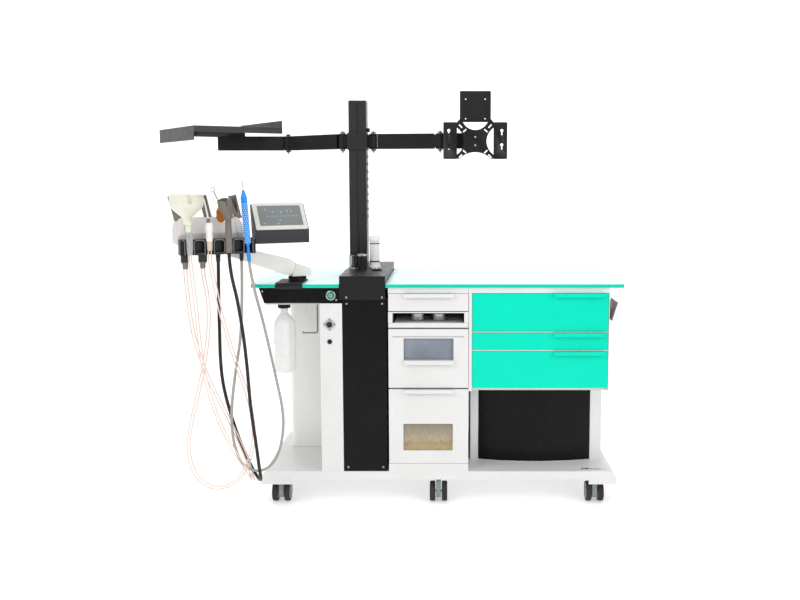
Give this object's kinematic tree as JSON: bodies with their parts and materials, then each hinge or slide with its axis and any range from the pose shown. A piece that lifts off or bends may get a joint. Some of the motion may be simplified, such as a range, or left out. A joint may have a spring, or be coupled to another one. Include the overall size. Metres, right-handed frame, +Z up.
{
  "type": "ear nose throat treatment unit",
  "caption": "Mobile treatment unit: castor base, drawers, glass worktop, hosed handpieces on a balanced arm, and a column with a tray arm and a monitor arm.",
  "frame": {"origin": "centre of the footprint, on the floor, without the hoses", "axes": "+X along the worktop to the viewer's right, +Y from the drawer fronts to the back, +Z up"},
  "size_m": [1.9573, 1.2736, 1.569],
  "materials": {
    "white_lacquer": "satin white powder coat",
    "white_board": "satin white lacquered board",
    "green_board": "gloss teal-green lacquered board",
    "edge_glass": "back-painted glass with green edges",
    "black_gloss": "gloss black",
    "black_metal": "satin black powder coat",
    "grey_metal": "satin dark grey powder coat",
    "post_alu": "dark anodised",
    "steel": "brushed",
    "castor_grey": "moulded grey-green",
    "tread": "moulded, dark tread",
    "cream_plastic": "moulded cream",
    "white_plastic": "moulded white",
    "dark_plastic": "moulded dark grey",
    "black_plastic": "moulded black",
    "mid_grey_plastic": "moulded grey",
    "ivory_plastic": "gloss ivory",
    "blue_plastic": "gloss blue",
    "amber": "amber glass",
    "button_green": "gloss green",
    "pale_pane": "smoked blue-grey pane",
    "bottle_white": "translucent white bottle",
    "pink_tube": "translucent pinkish tube",
    "black_hose": "smooth black hose",
    "grey_hose": "smooth grey hose"
  },
  "bodies": {
    "frame": {"base_frame": "white_board", "carcass_left": "white_board", "carcass_right": "white_board", "bay_panel": "black_gloss", "worktop_left": "edge_glass", "worktop_right": "edge_glass", "front_fascia": "black_gloss", "column_cover": "black_gloss", "cover_hood": "black_plastic", "service_box": "white_lacquer", "pump_cover": "white_plastic", "column_post": "post_alu", "arm_collar": "black_metal", "fasteners": "steel", "wall_fittings": "steel", "arm_base": "black_metal"},
    "castor_1": {"castor_fork_1": "castor_grey"},
    "wheels_1": {"castor_wheels_1": "tread"},
    "castor_2": {"castor_fork_2": "castor_grey"},
    "wheels_2": {"castor_wheels_2": "tread"},
    "castor_3": {"castor_fork_3": "castor_grey"},
    "wheels_3": {"castor_wheels_3": "tread"},
    "castor_4": {"castor_fork_4": "castor_grey"},
    "wheels_4": {"castor_wheels_4": "tread"},
    "castor_5": {"castor_fork_5": "castor_grey"},
    "wheels_5": {"castor_wheels_5": "tread"},
    "top_drawer": {"top_drawer": "white_board"},
    "niche_tray": {"niche_tray": "white_board"},
    "mid_drawer": {"mid_drawer": "white_board"},
    "drop_flap": {"drop_flap": "pale_pane"},
    "bottom_drawer": {"bottom_drawer": "white_board"},
    "green_drawer_1": {"green_drawer_1": "green_board"},
    "green_drawer_2": {"green_drawer_2": "green_board"},
    "green_drawer_3": {"green_drawer_3": "green_board"},
    "power_button": {"power_button": "button_green"},
    "bottle": {"bottle": "bottle_white"},
    "steel_quiver": {"steel_quiver": "steel"},
    "tall_cup": {"tall_cup": "white_plastic"},
    "left_link_1": {"left_link_1": "black_metal"},
    "left_link_2": {"left_link_2": "black_metal"},
    "side_tray": {"side_tray": "grey_metal"},
    "right_link_1": {"right_link_1": "black_metal"},
    "right_link_2": {"right_link_2": "black_metal"},
    "tilt_head": {"tilt_head": "black_metal"},
    "monitor_plate": {"monitor_plate": "black_metal"},
    "arm_hub": {"arm_hub": "cream_plastic"},
    "balance_arm": {"balance_arm": "cream_plastic"},
    "arm_knuckle": {"arm_knuckle": "mid_grey_plastic"},
    "head": {"head_housing": "cream_plastic", "head_rack": "black_plastic", "funnel_handpiece": "ivory_plastic", "syringe_handpiece": "white_plastic", "spray_handpiece": "dark_plastic", "probe_handpiece": "blue_plastic", "hose_funnel": "pink_tube", "hose_syringe": "pink_tube", "hose_spray": "black_hose", "hose_probe": "grey_hose"},
    "display": {"touch_display": "dark_plastic"},
    "atomizer": {"atomizer": "amber"}
  },
  "joints": [
    {"name": "castor_swivel_1", "type": "hinge", "parent": "frame", "child": "castor_1", "pos_m": [-0.311, -0.298, 0.1], "axis": [0, 0, 1], "continuous": true},
    {"name": "wheel_spin_1", "type": "hinge", "parent": "castor_1", "child": "wheels_1", "pos_m": [-0.311, -0.323, 0.0375], "axis": [1, 0, 0], "continuous": true},
    {"name": "castor_swivel_2", "type": "hinge", "parent": "frame", "child": "castor_2", "pos_m": [0.291, -0.298, 0.1], "axis": [0, 0, 1], "continuous": true},
    {"name": "wheel_spin_2", "type": "hinge", "parent": "castor_2", "child": "wheels_2", "pos_m": [0.291, -0.323, 0.0375], "axis": [1, 0, 0], "continuous": true},
    {"name": "castor_swivel_3", "type": "hinge", "parent": "frame", "child": "castor_3", "pos_m": [0.889, -0.298, 0.1], "axis": [0, 0, 1], "continuous": true},
    {"name": "wheel_spin_3", "type": "hinge", "parent": "castor_3", "child": "wheels_3", "pos_m": [0.889, -0.323, 0.0375], "axis": [1, 0, 0], "continuous": true},
    {"name": "castor_swivel_4", "type": "hinge", "parent": "frame", "child": "castor_4", "pos_m": [-0.311, 0.082, 0.1], "axis": [0, 0, 1], "continuous": true},
    {"name": "wheel_spin_4", "type": "hinge", "parent": "castor_4", "child": "wheels_4", "pos_m": [-0.311, 0.057, 0.0375], "axis": [1, 0, 0], "continuous": true},
    {"name": "castor_swivel_5", "type": "hinge", "parent": "frame", "child": "castor_5", "pos_m": [0.889, 0.082, 0.1], "axis": [0, 0, 1], "continuous": true},
    {"name": "wheel_spin_5", "type": "hinge", "parent": "castor_5", "child": "wheels_5", "pos_m": [0.889, 0.057, 0.0375], "axis": [1, 0, 0], "continuous": true},
    {"name": "top_drawer_slide", "type": "slide", "parent": "frame", "child": "top_drawer", "axis": [0, -1, 0], "range_m": [0, 0.36]},
    {"name": "niche_tray_slide", "type": "slide", "parent": "frame", "child": "niche_tray", "axis": [0, -1, 0], "range_m": [0, 0.25]},
    {"name": "mid_drawer_slide", "type": "slide", "parent": "frame", "child": "mid_drawer", "axis": [0, -1, 0], "range_m": [0, 0.36]},
    {"name": "drop_flap_hinge", "type": "hinge", "parent": "mid_drawer", "child": "drop_flap", "pos_m": [0.255, -0.366, 0.637], "axis": [1, 0, 0], "range_deg": [0, 70]},
    {"name": "bottom_drawer_slide", "type": "slide", "parent": "frame", "child": "bottom_drawer", "axis": [0, -1, 0], "range_m": [0, 0.36]},
    {"name": "green_drawer_1_slide", "type": "slide", "parent": "frame", "child": "green_drawer_1", "axis": [0, -1, 0], "range_m": [0, 0.36]},
    {"name": "green_drawer_2_slide", "type": "slide", "parent": "frame", "child": "green_drawer_2", "axis": [0, -1, 0], "range_m": [0, 0.36]},
    {"name": "green_drawer_3_slide", "type": "slide", "parent": "frame", "child": "green_drawer_3", "axis": [0, -1, 0], "range_m": [0, 0.36]},
    {"name": "power_button_press", "type": "slide", "parent": "frame", "child": "power_button", "axis": [0, 1, 0], "range_m": [0, 0.003], "stiffness_N_per_m": 400, "springref_m": -0.001},
    {"name": "bottle_release", "type": "slide", "parent": "frame", "child": "bottle", "axis": [0, 0, -1], "range_m": [0, 0.03]},
    {"name": "steel_quiver_lift", "type": "slide", "parent": "frame", "child": "steel_quiver", "axis": [0, 0, 1], "range_m": [0, 0.06]},
    {"name": "tall_cup_lift", "type": "slide", "parent": "frame", "child": "tall_cup", "axis": [0, 0, 1], "range_m": [0, 0.06]},
    {"name": "left_shoulder", "type": "hinge", "parent": "frame", "child": "left_link_1", "pos_m": [-0.097, -0.026, 1.38], "axis": [0, 0, 1], "range_deg": [-40, 60]},
    {"name": "left_elbow", "type": "hinge", "parent": "left_link_1", "child": "left_link_2", "pos_m": [-0.36, 0.222, 1.38], "axis": [0, 0, 1], "range_deg": [-60, 40]},
    {"name": "tray_swivel", "type": "hinge", "parent": "left_link_2", "child": "side_tray", "pos_m": [-0.643, 0.222, 1.41], "axis": [0, 0, 1], "range_deg": [-60, 60]},
    {"name": "right_shoulder", "type": "hinge", "parent": "frame", "child": "right_link_1", "pos_m": [0.027, -0.026, 1.38], "axis": [0, 0, 1], "range_deg": [-45, 45]},
    {"name": "right_elbow", "type": "hinge", "parent": "right_link_1", "child": "right_link_2", "pos_m": [0.296, -0.078, 1.38], "axis": [0, 0, 1], "range_deg": [-60, 60]},
    {"name": "plate_pan", "type": "hinge", "parent": "right_link_2", "child": "tilt_head", "pos_m": [0.433, -0.116, 1.38], "axis": [0, 0, 1], "range_deg": [-12, 40]},
    {"name": "plate_tilt", "type": "hinge", "parent": "tilt_head", "child": "monitor_plate", "pos_m": [0.433, -0.14, 1.38], "axis": [1, 0, 0], "range_deg": [-15, 15]},
    {"name": "arm_swing", "type": "hinge", "parent": "frame", "child": "arm_hub", "pos_m": [-0.242, -0.303, 0.89], "axis": [0, 0, 1], "range_deg": [-30, 50]},
    {"name": "arm_lift", "type": "hinge", "parent": "arm_hub", "child": "balance_arm", "pos_m": [-0.28245, -0.32273, 0.906], "axis": [-0.4384, 0.8988, 0], "range_deg": [-15, 20]},
    {"name": "knuckle_level", "type": "hinge", "parent": "balance_arm", "child": "arm_knuckle", "pos_m": [-0.47119, -0.41479, 0.975], "axis": [-0.4384, 0.8988, 0], "range_deg": [-20, 15]},
    {"name": "head_swivel", "type": "hinge", "parent": "arm_knuckle", "child": "head", "pos_m": [-0.47119, -0.41479, 1.01], "axis": [0, 0, 1], "range_deg": [-20, 10]},
    {"name": "display_tilt", "type": "hinge", "parent": "head", "child": "display", "pos_m": [-0.36457, -0.44178, 1.014], "axis": [-0.8988, -0.4384, 0], "range_deg": [-10, 15]},
    {"name": "atomizer_lift", "type": "slide", "parent": "head", "child": "atomizer", "axis": [0, 0, 1], "range_m": [0, 0.05]}
  ],
  "couplings": [
    {"joint": "knuckle_level", "follows": "arm_lift", "ratio": -1}
  ]
}
